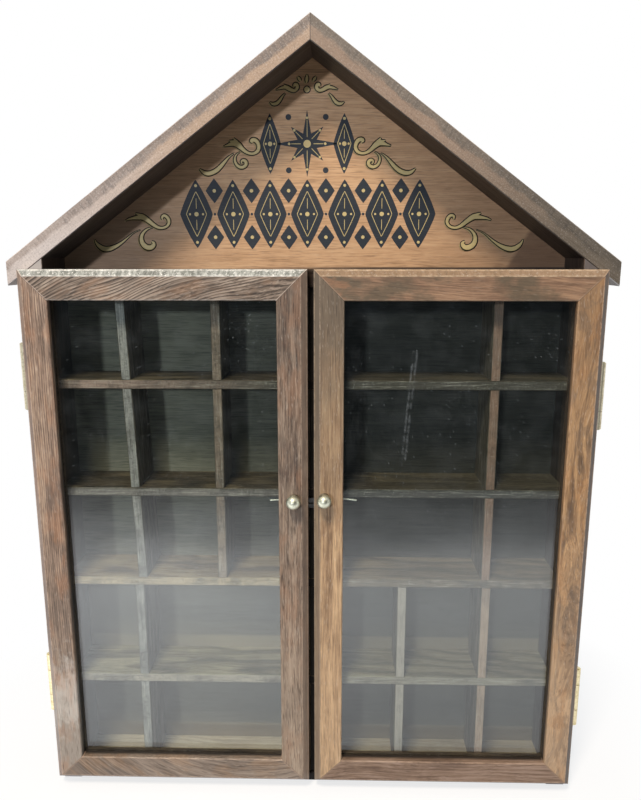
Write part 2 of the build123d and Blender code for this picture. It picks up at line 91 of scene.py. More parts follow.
def lay(add, tone, coats):
    """Lays coats over a tone, in order. Each is a share, a tone and, if not MIX, a blend type."""
    for share, over, *blend in coats:
        tone = add("Mix", {"Factor": share, 6: tone, 7: over}, data_type="RGBA",
                   blend_type=blend[0] if blend else "MIX")
    return tone


def surface(add, height, strength, depth, sockets):
    """Ends a material with a shader that is bumped by a height, of a depth in metres."""
    bump = add("Bump", {"Height": height, "Strength": strength, "Distance": depth})
    shader = add("BsdfPrincipled", {**sockets, "Normal": bump})
    add("OutputMaterial", {"Surface": shader})


def dress(node_name, material):
    """Gives a CAD node its material."""
    mesh = nodes[node_name].data
    mesh.materials.clear()
    mesh.materials.append(material)


def stained_wood(name, tones, turn=LEVEL, seed=0, slant=0, sweep=None, wave_mm=1.0,
                 ring_share=0.0, ring_mm=2.4, pith=(14, 0), lean=0.05, patches=0.4,
                 patch_tone="#4a3c32", patch_mm=26, patch_length=3.0, pores=0.5, pore_mm=0.55,
                 flecks=0.2, worn=0.0, worn_tone="#b98a58", drifts=(), roughness=0.48, gloss=0.5,
                 over_stain=None):
    """Stained and lacquered wood. turn brings the grain to X, tones run from dark to light."""
    material, add = new_material(name)
    place = add("TexCoord").outputs["Object"]
    offset = (seed * 137.0, seed * 31.0, seed * 53.0)
    board = add("Mapping", {
        "Vector": place,
        "Rotation": [math.radians(a) for a in (turn[0], turn[1] + slant, turn[2])],
        "Scale": per_mm})
    if sweep:
        # the grain climbs across the board: slope, and how fast the slope changes
        slope, bow = sweep
        along = add("SeparateXYZ", {"Vector": board}).outputs["X"]
        climb = add("Math", {0: along, 1: bow, 2: slope}, "MULTIPLY_ADD")
        climb = add("Math", {0: climb, 1: along}, "MULTIPLY")
        lift = add("CombineXYZ", {"Z": climb})
        board = add("VectorMath", {0: board, 1: lift}, "SUBTRACT")

    def noise(vector, size_mm, length, detail, low, high, most=1.0):
        """Noise of a size across the grain, drawn out along it, from low to high as 0 to most."""
        drawn = add("VectorMath", {0: vector, 1: (1 / length, 1, 1), 2: offset}, "MULTIPLY_ADD")
        value = add("TexNoise", {
            "Vector": drawn, "Scale": 1 / size_mm, "Detail": detail, "Roughness": 0.62})
        return add("MapRange", {"Value": value, "From Min": low, "From Max": high, "To Max": most})

    # the grain wanders a little, and everything that follows it wanders with it
    drawn = add("VectorMath", {0: board, 1: (0.3, 1, 1), 2: offset}, "MULTIPLY_ADD")
    wander = add("TexNoise", {
        "Vector": drawn, "Scale": 0.035, "Detail": 2.0, "Roughness": 0.5}).outputs["Color"]
    shift = add("VectorMath", {0: wander, 1: (0.5, 0.5, 0.5)}, "SUBTRACT")
    shift = add("VectorMath", {0: shift, 3: 4 * wave_mm}, "SCALE")
    bent = add("VectorMath", {0: board, 1: shift}, "ADD")
    fibre = noise(bent, 0.7, 30, 4.0, 0.32, 0.68)
    streak = noise(bent, 2.8, 26, 4.0, 0.34, 0.66)
    mottle = noise(bent, 6, 2.2, 4.0, 0.34, 0.66)
    cloud = noise(bent, 30, 2.6, 2.0, 0.34, 0.66)
    figure = add("Mix", {"Factor": 0.42, 2: fibre, 3: streak})
    spread = add("Mix", {"Factor": 0.55, 2: mottle, 3: cloud})
    figure = add("Mix", {"Factor": 0.36, 2: figure, 3: spread})
    if ring_share:
        # growth rings round a pith that lies behind the face and leans towards it
        from_pith = add("Mapping", {
            "Vector": bent, "Rotation": (0, 0, lean), "Location": (0, pith[0], pith[1])})
        radial = add("VectorMath", {0: from_pith, 1: (0, 1, 1)}, "MULTIPLY")
        radius = add("VectorMath", {0: radial}, "LENGTH")
        ring = add("Math", {0: radius, 1: ring_mm}, "DIVIDE")
        ring = add("Math", {0: ring}, "FRACT")
        ring = add("ValToRGB", {"Fac": ring}, stops=[
            (0.0, 0.0), (0.3, 0.95), (0.65, 0.7), (1.0, 0.0)])
        weight = add("MapRange", {
            "Value": cloud, "From Min": 0.1, "From Max": 0.7, "To Min": 0.55 * ring_share,
            "To Max": ring_share})
        figure = add("Mix", {"Factor": weight, 2: figure, 3: ring})
    dark, middle, light = tones
    tone = add("ValToRGB", {"Fac": figure}, stops=[(0.29, dark), (0.5, middle), (0.71, light)])
    coats = [(noise(bent, patch_mm, patch_length, 4.0, 0.50, 0.64, patches), patch_tone)]
    waver = 0.03    # how far the mottle moves the ends of a drift, in metres
    for axis, start_mm, end_mm, drift_tone, share in drifts:
        reach = add("SeparateXYZ", {"Vector": place}).outputs[axis]
        uneven = add("Math", {0: mottle, 1: waver, 2: reach}, "MULTIPLY_ADD")
        drift = add("MapRange", {
            "Value": uneven, "From Min": start_mm * mm + waver / 2,
            "From Max": end_mm * mm + waver / 2, "To Max": share})
        coats.append((drift, drift_tone))
    if worn:
        coats.append((noise(board, 9, 3.0, 3.0, 0.50, 0.64, worn), worn_tone))
    pore = noise(bent, pore_mm, 18, 1.0, 0.55, 0.68, pores)
    coats.append((pore, "#6b5b50", "MULTIPLY"))
    if flecks:
        coats.append((noise(bent, 0.5, 9, 1.0, 0.62, 0.72, flecks), "#e6d8c8"))
    tone = lay(add, tone, coats)
    if over_stain:
        tone = over_stain(add, place, tone)
    height = add("Math", {0: fibre, 1: pore}, "SUBTRACT")
    rough = add("MapRange", {
        "Value": figure, "To Min": roughness + 0.12, "To Max": roughness - 0.06})
    surface(add, height, 0.4, 0.05 * mm, {
        "Base Color": tone, "Roughness": rough, "IOR": 1.45, "Specular IOR Level": gloss})
    return material


def bare_front(side, edge_tone):
    """Front edge, painted lit on the left board and shaded on the right; inner face painted as
    shade.
    """
    low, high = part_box(side + "_side")
    inner = high[0] if side == "left" else low[0]

    def coat(add, place, tone):
        parts = add("SeparateXYZ", {"Vector": place}).outputs
        front = add("MapRange", {
            "Value": parts["Y"], "From Min": low[1] + 0.2 * mm, "From Max": low[1] + 0.1 * mm,
            "To Max": 0.8})
        # the inner face is painted dark, as shade inside the case
        inside = add("Math", {0: parts["X"], 1: inner, 2: 0.2 * mm}, "COMPARE")
        inside = add("Math", {0: inside, 1: 0.8}, "MULTIPLY")
        return lay(add, tone, [(inside, "#2b2523"), (front, edge_tone)])

    return coat


case_tones = ("#4a3b31", "#6f5b4b", "#8c7260")
# the left edge's pale tone is partly sawn grey and partly painted light; the right one's dark tone
# is painted shade
for number, (side, edge_tone) in enumerate((("left", "#b5aeaa"), ("right", "#625d5c")), start=1):
    dress(side + "_side", stained_wood(
        "walnut_stained_" + side + "_side", case_tones, UPRIGHT, seed=number,
        over_stain=bare_front(side, edge_tone)))

# --- Bottom and attic boards ----------
# Thin boards of the same softwood between the sides. The bottom board's flat sawn top is
# painted pale, partly its own tone and partly light through the lower panes, and darker
# towards the right as shade. The attic board is the ledge under the gable; its top and its
# front edge, behind the gap of the doors, are painted near black as shade.
grid_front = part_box("shelf_2")[0][1]
gap_x, gap_half_w = 1.5 * mm, 6 * mm    # the strip behind the gap of the doors


def drawn_noise(add, vector, stretch, scale, detail, roughness):
    """Noise drawn out along the axes where stretch is under 1."""
    drawn = add("VectorMath", {0: vector, 1: stretch}, "MULTIPLY")
    return add("TexNoise", {
        "Vector": drawn, "Scale": scale, "Detail": detail, "Roughness": roughness})


def sawn_edge(left_tone, right_tone, along, turn_at=(-0.02, 0.04), contrast=1.0):
    """A grey front edge, ticked and streaked; along is the axis the piece runs along."""

    def coat(add, place, tone):
        parts = add("SeparateXYZ", {"Vector": place}).outputs
        stretches = [(1, 0.1, 0.35), (0.05, 0.1, 0.9)]
        if along == "Z":
            stretches = [stretch[::-1] for stretch in stretches]
        ticks, streaks = [drawn_noise(add, place, stretch, 1.1 / mm, 4.0, 0.75)
                          for stretch in stretches]
        stains = add("TexNoise", {
            "Vector": place, "Scale": 0.06 / mm, "Detail": 5.0, "Roughness": 0.65})
        turn = add("MapRange", {
            "Value": parts["X"], "From Min": turn_at[0], "From Max": turn_at[1]})
        coats = [(turn, right_tone)]
        for value, start, end, most, over in (
                (stains, 0.46, 0.64, 0.55, "#5b534d"), (streaks, 0.50, 0.66, 0.5, "#4b4540"),
                (streaks, 0.46, 0.34, 0.4, "#e0d5c8"), (ticks, 0.52, 0.66, 0.4, "#453f3a"),
                (ticks, 0.42, 0.32, 0.3, "#ded8ce")):
            share = add("MapRange", {
                "Value": value, "From Min": start, "From Max": end, "To Max": most * contrast})
            coats.append((share, over))
        if along == "X":
            # where a shelf crosses behind the gap it is painted nearly black, as shade
            gap = add("Math", {0: parts["X"], 1: gap_x, 2: gap_half_w}, "COMPARE")
            coats.append((gap, "#1a1714"))
        front = add("MapRange", {
            "Value": parts["Y"], "From Min": grid_front + 0.2 * mm,
            "From Max": grid_front + 0.1 * mm})
        edge = lay(add, left_tone, coats)
        return add("Mix", {"Factor": front, 6: tone, 7: edge}, data_type="RGBA")

    return coat


# pale tones partly painted light through the lower panes; the drift paints the right darker as
# shade
dress("bottom_board", stained_wood(
    "walnut_stained_bottom_board", ("#c6b29b", "#dac7b0", "#eadac5"), seed=3, pores=0.2,
    ring_share=0.2, ring_mm=4, wave_mm=4, gloss=0.15, drifts=[("X", 10, 60, "#94836f", 0.6)],
    over_stain=sawn_edge("#6b5f56", "#6b5f56", "X")))
# the attic board's near-black tones are painted shade, behind the gap and under the gable
dress("attic_board", stained_wood(
    "walnut_stained_attic_board", ("#0c0a08", "#161210", "#241e1a"), seed=4, flecks=0.05,
    gloss=0.1))

# --- Roof boards ----------------------
# Two boards mitred at the ridge, with the grain up the slope. Their front edges are left as
# sawn: the stain sits grey and thin on them, with the saw's ticks across the outer half.
roof_pitch = 36.6
ridge_x, ridge_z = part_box("left_roof_board")[1][0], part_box("left_roof_board")[1][2]
roof_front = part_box("left_roof_board")[0][1]
wall_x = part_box("right_side")[1][0]
eave_tone_z, ridge_tone_z = 0.345, 0.405    # where the tones of eave and ridge are reached
strip_w, strip_waver = (4.0, 5.9), 4.5      # mm: the outer strip, and how far its edge strays


def sawn_front(side, outer_tones, inner_tones, tick_tone, tick_share, grit):
    """A roof board's front edge. Its outer and inner strips have a tone at eave and ridge."""

    def coat(add, place, tone):
        # X runs up the slope, Z is the height square to the roof's outer face
        slope = add("Mapping", {
            "Vector": place, "Rotation": (0, math.radians(-side * roof_pitch), 0),
            "Scale": per_mm})
        top = ridge_z / mm * math.cos(math.radians(roof_pitch))
        height = add("SeparateXYZ", {"Vector": slope}).outputs["Z"]
        parts = add("SeparateXYZ", {"Vector": place}).outputs
        blotch = drawn_noise(add, slope, (0.35, 1, 1), 0.16, 5.0, 0.65)
        uneven = add("Math", {0: blotch, 1: 2 * strip_waver, 2: height}, "MULTIPLY_ADD")
        outer = add("MapRange", {
            "Value": uneven, "From Min": top - strip_w[1] + strip_waver,
            "From Max": top - strip_w[0] + strip_waver})
        climb = add("MapRange", {
            "Value": parts["Z"], "From Min": eave_tone_z, "From Max": ridge_tone_z})
        inner_strip, outer_strip = [
            add("Mix", {"Factor": climb, 6: eave, 7: ridge}, data_type="RGBA")
            for eave, ridge in (inner_tones, outer_tones)]
        across = drawn_noise(add, slope, (1, 0.1, 0.16), 0.8, 3.0, 0.7)
        stretch = add("MapRange", {
            "Value": blotch, "From Min": 0.36, "From Max": 0.60, "To Min": 0.35 * tick_share,
            "To Max": tick_share})
        on_outer = add("MapRange", {"Value": outer, "To Min": 0.2})
        stretch = add("Math", {0: stretch, 1: on_outer}, "MULTIPLY")
        ticks = add("MapRange", {
            "Value": across, "From Min": 0.45, "From Max": 0.60, "To Max": stretch})
        grains = add("TexNoise", {"Vector": slope, "Scale": 1.1, "Detail": 3.0, "Roughness": 0.75})
        pale = add("MapRange", {
            "Value": grains, "From Min": 0.54, "From Max": 0.68, "To Max": grit})
        deep = add("MapRange", {
            "Value": grains, "From Min": 0.46, "From Max": 0.32, "To Max": 0.5})
        joint = add("Math", {0: parts["X"], 1: ridge_x, 2: 0.3 * mm}, "COMPARE")
        joint = add("Math", {0: joint, 1: 0.7}, "MULTIPLY")
        face = lay(add, inner_strip, [
            (outer, outer_strip), (ticks, tick_tone), (pale, "#f0e9e2"), (deep, "#5d534c"),
            (joint, "#3b302a")])
        front = add("MapRange", {
            "Value": parts["Y"], "From Min": roof_front + 0.2 * mm,
            "From Max": roof_front + 0.1 * mm, "To Max": 0.85})
        # the downward faces between the sides are painted dark as shade, and near white at the
        # eaves
        normal = add("SeparateXYZ", {"Vector": add("NewGeometry").outputs["True Normal"]})
        under = add("MapRange", {
            "Value": normal.outputs["Z"], "From Min": -0.4, "From Max": -0.6, "To Max": 0.85})
        reach = add("Math", {0: parts["X"]}, "ABSOLUTE")
        eaves = add("MapRange", {
            "Value": reach, "From Min": wall_x - 0.5 * mm, "From Max": wall_x})
        soffit = add("Mix", {"Factor": eaves, 6: "#322c28", 7: "#efeae6"}, data_type="RGBA")
        return lay(add, tone, [(front, face), (under, soffit)])

    return coat


dress("left_roof_board", stained_wood(
    "sawn_left_roof_board", ("#8b7c75", "#b3a39a", "#cfc2b8"), (0, roof_pitch, 0), seed=5,
    patches=0.3, patch_tone="#6b625f", pores=0.3,
    over_stain=sawn_front(-1, ("#b3a39a", "#857467"), ("#d0c4be", "#b6987d"), "#57504c", 0.6,
                          0.38)))
dress("right_roof_board", stained_wood(
    "sawn_right_roof_board", ("#5f564f", "#8b7f74", "#aa9e91"), (0, -roof_pitch, 0), seed=7,
    patches=0.35, patch_tone="#4c4641", pores=0.5,
    over_stain=sawn_front(1, ("#4e463a", "#786b5e"), ("#5b5143", "#9a806b"), "#3f3a35", 0.55,
                          0.2)))

# --- Back panel -----------------------
# Three-ply panel with a reddish face veneer, set in rebates and bradded from behind. The
# gable part has clear lacquer; its ends, lower right corner and foot are painted darker as
# shade. Below the attic board the inside is stained olive, painted paler on the left and
# darker to the right as light and shade, and paler in the low rows and in strips above the
# lowest shelf and the floor as light.
stain_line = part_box("attic_board")[0][2]
attic_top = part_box("attic_board")[1][2]
panel_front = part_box("back_panel")[0][1]
corner_slope = 0.59                                   # of the shaded left corner's edge
dusty_strips = ((0.0757, 0.0085), (0.006, 0.0105))    # foot and height of each, in metres


def inside_stain(add, place, tone):
    """Painted shade on the gable, and the olive stain below it with painted light and shade."""
    parts = add("SeparateXYZ", {"Vector": place}).outputs
    # the gable's lower right corner and both its ends are painted darker, as shade
    corner = add("Math", {0: parts["Z"], 1: -corner_slope, 2: parts["X"]}, "MULTIPLY_ADD")
    corner = add("MapRange", {
        "Value": corner, "From Min": -0.0795, "From Max": -0.0765, "To Max": 0.62})
    left_end = add("MapRange", {
        "Value": parts["X"], "From Min": -0.045, "From Max": -0.110, "To Max": 0.6})
    right_end = add("MapRange", {
        "Value": parts["X"], "From Min": 0.050, "From Max": 0.105, "To Max": 0.45})
    # a dark line along the gable's foot, darkest on the right, is painted shade where it meets the
    # attic board
    foot = add("MapRange", {
        "Value": parts["Z"], "From Min": attic_top + 1.4 * mm, "From Max": attic_top + 0.7 * mm,
        "To Max": add("MapRange", {"Value": parts["X"], "From Min": -0.06, "From Max": 0.03,
                                   "To Max": 0.85})})
    gable = lay(add, tone, [
        (left_end, "#7f6854"), (right_end, "#84664e"), (corner, "#5a4031"), (foot, "#2b2522")])
    grain = add("MapRange", {
        "Value": add("RGBToBW", {"Color": tone}), "From Min": 0.20, "From Max": 0.46})
    # the stain is painted darker towards the right as shade, and paler in the low rows as light
    thick = add("MapRange", {"Value": parts["X"], "From Min": -0.085, "From Max": 0.03})
    down = add("MapRange", {"Value": parts["Z"], "From Min": 0.150, "From Max": 0.125})
    stains = []
    for left, right, low_left, low_right in (
            ("#5e5b51", "#211f1d", "#756c60", "#534e47"),
            ("#958f7f", "#433f39", "#8d8376", "#68625a")):
        low = add("Mix", {"Factor": thick, 6: low_left, 7: low_right}, data_type="RGBA")
        stains.append(lay(add, left, [(thick, right), (down, low)]))
    coats = [(grain, stains[1])]
    # just above the lowest shelf and the floor, strips are painted pale as light, most in mid left
    dusty = add("MapRange", {
        "Value": parts["X"], "From Min": -0.092, "From Max": -0.062, "To Min": 0.35,
        "To Max": add("MapRange", {"Value": thick, "To Min": 0.9, "To Max": 0.4})})
    for foot_z, tall in dusty_strips:
        middle = add("Math", {0: parts["Z"], 1: foot_z + tall / 2}, "SUBTRACT")
        middle = add("Math", {0: middle}, "ABSOLUTE")
        strip = add("MapRange", {
            "Value": middle, "From Min": tall / 2 + 1.2 * mm, "From Max": tall / 2 - 0.6 * mm,
            "To Max": dusty})
        coats.append((strip, "#ad9a80"))
    below = add("Math", {0: parts["Z"], 1: stain_line}, "LESS_THAN")
    inner = add("Math", {0: parts["Y"], 1: panel_front + 0.5 * mm}, "LESS_THAN")
    face = add("Mix", {"Factor": below, 6: gable, 7: lay(add, stains[0], coats)}, data_type="RGBA")
    return add("Mix", {"Factor": inner, 6: tone, 7: face}, data_type="RGBA")


dress("back_panel", stained_wood(
    "lacquered_plywood", ("#b58e68", "#c89d75", "#d3aa81"), seed=9, wave_mm=0.7, patches=0.2,
    patch_tone="#b0835b", pores=0.34, pore_mm=0.6, flecks=0.10, roughness=0.5, gloss=0.4,
    over_stain=inside_stain))

# --- Grid -----------------------------
# Four shelves and eight short dividers of 5.6 mm wood, pressed together dry and pinned. The
# faces are stained thinly; the front edges are left as the saw cut them and look grey,
# paler on the left of the case. The middle divider, behind the gap, is painted nearly black
# as shade.
# shelves 3 and 4 are paler than 1 and 2, partly their own tone and partly painted light on the
# lower shelves
shelf_looks = {
    "shelf_1": (("#3a332a", "#574b3e", "#7d6d58"), "#c3a294", "#625b52", (-0.13, -0.02)),
    "shelf_2": (("#3a332a", "#574b3e", "#7d6d58"), "#968b82", "#5f5b57", (-0.05, 0.02)),
    "shelf_3": (("#5b4c3c", "#8a755c", "#ad9677"), "#d4b998", "#887767", (-0.03, 0.03)),
    "shelf_4": (("#66604f", "#8d826c", "#bdb197"), "#c2b1a1", "#a39788", (-0.03, 0.03)),
}
for number, (shelf, (tones, left_edge, right_edge, turn_at)) in enumerate(
        shelf_looks.items(), start=30):
    dress(shelf, stained_wood(
        "stained_" + shelf, tones, seed=number, ring_share=0.4, ring_mm=3.2, pith=(9, 0),
        lean=0.14, wave_mm=3.0, patches=0.25, gloss=0.15, drifts=[("X", 20, 60, "#5b544a", 0.5)],
        over_stain=sawn_edge(left_edge, right_edge, "X", turn_at, 1.2)))
# the middle divider's nearly black edge tone is painted shade behind the gap
divider_looks = {"divider_a": ("#b3aca8", 1.3), "divider_b": ("#a8907f", 1.2),
                 "divider_mid": ("#1a1714", 0.1), "divider_c_upper": ("#a68371", 0.8),
                 "divider_c_lower": ("#c2a28e", 0.7), "divider_d": ("#c4b5aa", 0.6)}
dividers = sorted(name for name in nodes if name.startswith("divider_"))
for number, divider in enumerate(dividers, start=41):
    edge_tone, contrast = next(looks for start, looks in divider_looks.items()
                               if divider.startswith(start))
    dress(divider, stained_wood(
        "stained_" + divider, ("#4a4239", "#6d6255", "#8c8070"), UPRIGHT, seed=number, gloss=0.15,
        over_stain=sawn_edge(edge_tone, edge_tone, "Z", contrast=contrast)))

# --- Ornament on the gable ------------
# Screen-printed: gold scrolls with a dark outline, and a navy frieze and star with gold dots
# and pin lines, which are plain traditional figures. The print is 0.1 mm thick here.
ornament_x, ornament_y = -3.2, panel_front / mm
stroke_flat = 0.02    # a round stroke is pressed flat to this share of its depth
low_scroll = [
    [(84.9, 360.7, .4), (85.3, 362.2, .9), (83.8, 363.4, 1.), (81.7, 362.1, 1.08),
     (80.7, 359.5, 1.08), (81.7, 357.2, .9), (84.2, 355.8, .81), (87.2, 355.8, .9),
     (89.7, 357.1, 1.17), (92.2, 359.1, 1.35), (95.1, 361.3, 1.6), (97.6, 362.6, 1.88),
     (99.3, 363.2, 1.17)],
    [(97.0, 362.2, 1.5), (100.2, 362.0, 1.35), (103.2, 361.6, .81), (105.6, 361.1, .58),
     (107.5, 360.2, .18)],
    [(96.9, 362.6, 1.35), (99.2, 363.8, .9), (101.3, 364.5, .22)],
    [(90.8, 356.1, .13), (93.2, 355.8, .4), (95.9, 354.3, .76), (97.9, 351.8, 1.08),
     (98.5, 349.0, 1.39), (97.7, 346.2, 1.61), (95.4, 344.2, 1.7), (92.6, 344.0, 1.66),
     (90.7, 345.7, 1.35), (90.9, 347.3, 1.), (92.2, 347.8, .4)],
    [(98.6, 354.7, .04), (101.8, 353.7, .09), (104.9, 351.6, .31), (108.1, 348.9, .54),
     (111.2, 346.6, .81), (114.7, 344.6, 1.21), (118.7, 343.2, 1.53), (122.1, 343.3, 1.61),
     (124.9, 345.2, 1.26), (126.7, 347.5, .54), (127.1, 349.2, .13)]]
middle_scroll = [
    [(29.1, 405.1, .52), (30.2, 405.7, 1.15), (28.9, 406.8, 1.26), (26.5, 405.9, 1.36),
     (25.2, 402.7, 1.15), (26.1, 399.9, 1.15), (29.2, 398.5, .84), (32.5, 399.2, .94),
     (35.5, 401.5, 1.26), (37.9, 404.1, 1.88), (40.3, 405.0, 1.88)],
    [(39.4, 404.6, 1.57), (41.8, 404.3, 1.26), (44.3, 403.5, .63), (46.5, 402.9, .21)],
    [(38.6, 405.0, 1.36), (39.8, 406.7, .73), (40.5, 407.6, .21)],
    [(39.8, 405.3, 1.26), (42.3, 405.7, .63), (43.2, 406.1, .21)],
    [(36.7, 399.6, .1), (38.7, 398.7, .37), (40.0, 396.6, .68), (39.9, 394.0, .84),
     (38.3, 391.6, .94), (35.6, 390.7, 1.05), (33.1, 392.3, 1.15), (33.4, 394.5, 1.15),
     (35.3, 395.2, .84), (36.3, 394.0, .63), (35.6, 393.0, .42)],
    [(40.4, 398.9, .1), (42.9, 397.5, .42), (45.9, 394.4, .94), (48.5, 391.4, 1.26),
     (51.5, 388.8, 1.41), (55.5, 387.3, 1.41), (58.5, 387.8, 1.15), (60.4, 389.4, .63),
     (61.4, 390.2, .16)]]
crest_scroll = [
    [(3.9, 436.2, .92), (4.1, 437.3, 1.), (2.6, 436.9, 1.17), (2.3, 435.1, 1.09),
     (4.0, 433.6, 1.), (6.3, 434.2, 1.17), (8.5, 435.6, 1.34), (10.2, 435.6, .84),
     (12.2, 435.2, .75), (14.1, 434.5, .29), (15.1, 434.2, .08)],
    [(7.9, 435.1, 1.), (9.4, 436.4, .75), (10.6, 437.0, .21)],
    [(9.5, 432.3, .13), (11.2, 430.7, .59), (12.6, 428.5, .92), (14.5, 426.6, 1.09),
     (16.9, 426.3, .92), (18.2, 427.2, .33), (18.7, 427.7, .08)],
    [(0.5, 438.9, .5), (0.9, 439.7, 1.), (1.7, 440.7, .84), (2.3, 441.5, .21)]]
crest_middle = [[(-3.4, 438.0, .5), (-3.3, 439.3, 1.1), (-3.2, 440.9, 1.), (-3.1, 442.7, .2)]]


def ink(name, tone, rubbed_tone, roughness):
    """Screen ink: flat colour that the grain under it has rubbed through in fine lines."""
    material, add = new_material(name)
    place = add("TexCoord").outputs["Object"]
    grain = drawn_noise(add, place, (0.06, 1, 1), 1 / (0.6 * mm), 3.0, 0.6)
    rubbed = add("MapRange", {"Value": grain, "From Min": 0.52, "From Max": 0.72, "To Max": 0.5})
    tint = add("Mix", {"Factor": rubbed, 6: tone, 7: rubbed_tone}, data_type="RGBA")
    surface(add, grain, 0.25, 0.03 * mm, {"Base Color": tint, "Roughness": roughness})
    return material


gold_ink = ink("pale_gold_ink", "#cdb67c", "#a98f58", 0.5)
ghost_ink = ink("thin_gold_ink", "#b39d6c", "#8c6f4c", 0.55)
line_ink = ink("black_line_ink", "#1c1914", "#2c261e", 0.6)
navy_ink = ink("navy_ink", "#1c232d", "#343a42", 0.6)


def set_print(name, material, y_mm):
    """Sets the active object on the panel at a depth, as a print of one ink."""
    piece = bpy.context.object
    piece.name = name
    piece.location = (0, y_mm * mm, 0)
    bpy.ops.object.transform_apply(location=True, rotation=True, scale=True)
    piece.data.materials.clear()
    piece.data.materials.append(material)
    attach(piece, "case")


def print_strokes(name, strokes, material, proud, widen=0.0, shift=(0, 0), closed=False):
    """Flat printed strokes from lines of (x, z, half width) in mm, proud of the panel."""
    bpy.ops.curve.primitive_nurbs_path_add()
    curve = bpy.context.object.data
    curve.splines.clear()
    for stroke in strokes:
        spline = curve.splines.new("NURBS")
        spline.points.add(len(stroke) - 1)
        for point, (x, z, half_width) in zip(spline.points, stroke):
            point.co = ((x + shift[0]) * mm, 0, (z + shift[1]) * mm, 1)
            point.radius = max(half_width + widen, 0.05)
        spline.order_u = 3
        spline.use_endpoint_u = not closed
        spline.use_cyclic_u = closed
    curve.bevel_depth = mm
    curve.bevel_resolution = 2
    curve.resolution_u = 6
    curve.use_fill_caps = True
    bpy.ops.object.convert(target="MESH")
    bpy.context.object.scale = (1, stroke_flat, 1)
    set_print(name, material, ornament_y - proud)


def mirrored(strokes):
    """The same strokes on the other side of the ornament's middle line."""
    return [[(2 * ornament_x - x, z, half_width) for x, z, half_width in stroke]
            for stroke in strokes]


all_scrolls = [*crest_middle]
for scroll in (low_scroll, middle_scroll, crest_scroll):
    all_scrolls += scroll + mirrored(scroll)
print_strokes("scroll_ghosts", all_scrolls, ghost_ink, 0.01, widen=0.1, shift=(-0.75, -0.55))
print_strokes("scroll_outlines", all_scrolls, line_ink, 0.05, widen=0.42)
print_strokes("scrolls", all_scrolls, gold_ink, 0.10, widen=-0.16)


def print_shapes(name, outlines, material, proud):
    """Flat printed shapes from closed outlines of (x, z) in mm."""
    shapes = []
    for outline in outlines:
        bpy.ops.mesh.primitive_circle_add(vertices=len(outline), fill_type="NGON")
        shape = bpy.context.object
        for vertex, (x, z) in zip(shape.data.vertices, outline):
            vertex.co = (x * mm, 0, z * mm)
        bpy.ops.object.mode_set(mode="EDIT")
        bpy.ops.mesh.select_all(action="SELECT")
        bpy.ops.mesh.extrude_region_move(TRANSFORM_OT_translate={"value": (0, -proud * mm, 0)})
        bpy.ops.mesh.select_all(action="SELECT")
        bpy.ops.mesh.normals_make_consistent(inside=False)
        bpy.ops.object.mode_set(mode="OBJECT")
        shapes.append(shape)
    bpy.ops.object.select_all(action="DESELECT")
    for shape in shapes:
        shape.select_set(True)
    bpy.context.view_layer.objects.active = shapes[0]
    bpy.ops.object.join()
    set_print(name, material, ornament_y)


def lozenge(x, z, half_width, half_height, power=2.2, count=48):
    """A lozenge; its sides are hollow where power is over 2, and full where it is under 2."""
    turns = [2 * math.pi * i / count for i in range(count)]
    return [(x + half_width * math.copysign(abs(math.cos(t)) ** power, math.cos(t)),
             z + half_height * math.copysign(abs(math.sin(t)) ** power, math.sin(t)))
            for t in turns]


def disc(x, z, radius, count=20):
    """A small round dot."""
    return lozenge(x, z, radius, radius, power=1.0, count=count)


def star(x, z, long_ray, short_ray, hollow, rays=8):
    """A star with rays of two lengths."""
    outline = []
    for i in range(2 * rays):
        t = math.pi * i / rays + math.pi / 2
        r = hollow if i % 2 else (short_ray if i % 4 else long_ray)
        outline.append((x + r * math.cos(t), z + r * math.sin(t)))
    return outline


def pin_line(outline, half_width=0.2):
    """The closed stroke that follows an outline."""
    return [(x, z, half_width) for x, z in outline]


frieze_z, frieze_step, frieze_count = 363.9, 22.4, 7
star_z, jewel_step = 404.2, 22.0
frieze_jewel, side_jewel = (9.9, 20.0), (6.4, 17.0)    # half width and half height, in mm
point_dz, spot_dx, spot_dz = 13.6, 11.0, 15.0    # from the frieze's line; from the star
navy_shapes, loops, rays, dots = [], [], [], []
jewels = [(ornament_x + (i - (frieze_count - 1) / 2) * frieze_step, frieze_z, *frieze_jewel)
          for i in range(frieze_count)]
jewels += [(ornament_x + side * jewel_step, star_z, *side_jewel) for side in (-1, 1)]
for x, z, half_width, half_height in jewels:
    navy_shapes.append(lozenge(x, z, half_width, half_height, power=1.75))
    loops.append(pin_line(lozenge(x, z, 0.62 * half_width, 0.66 * half_height, 1.9, 24)))
    rays += [[(x, z + s * 0.16 * half_height, .16), (x, z + s * 0.3 * half_height, .24),
              (x, z + s * 0.46 * half_height, .16)] for s in (-1, 1)]
    dots.append(disc(x, z, 1.3))
    dots += [disc(x, z + s * 0.83 * half_height, 0.85) for s in (-1, 1)]
    dots += [disc(x + s * 0.40 * half_width, z, 0.65) for s in (-1, 1)]
for i in range(frieze_count - 1):
    between = ornament_x + (i + 1 - frieze_count / 2) * frieze_step
    navy_shapes.append(disc(between, frieze_z, 0.8))
    for s in (-1, 1):
        navy_shapes.append(lozenge(between, frieze_z + s * point_dz, 5.2, 7.2, power=1.9))
        dots.append(disc(between, frieze_z + s * point_dz, 1.05))
navy_shapes.append(star(ornament_x, star_z, 19.0, 13.6, 6.2))
navy_shapes += [disc(ornament_x + spot_dx * sx, star_z + spot_dz * sz, 1.7)
                for sx in (-1, 1) for sz in (-1, 1)]
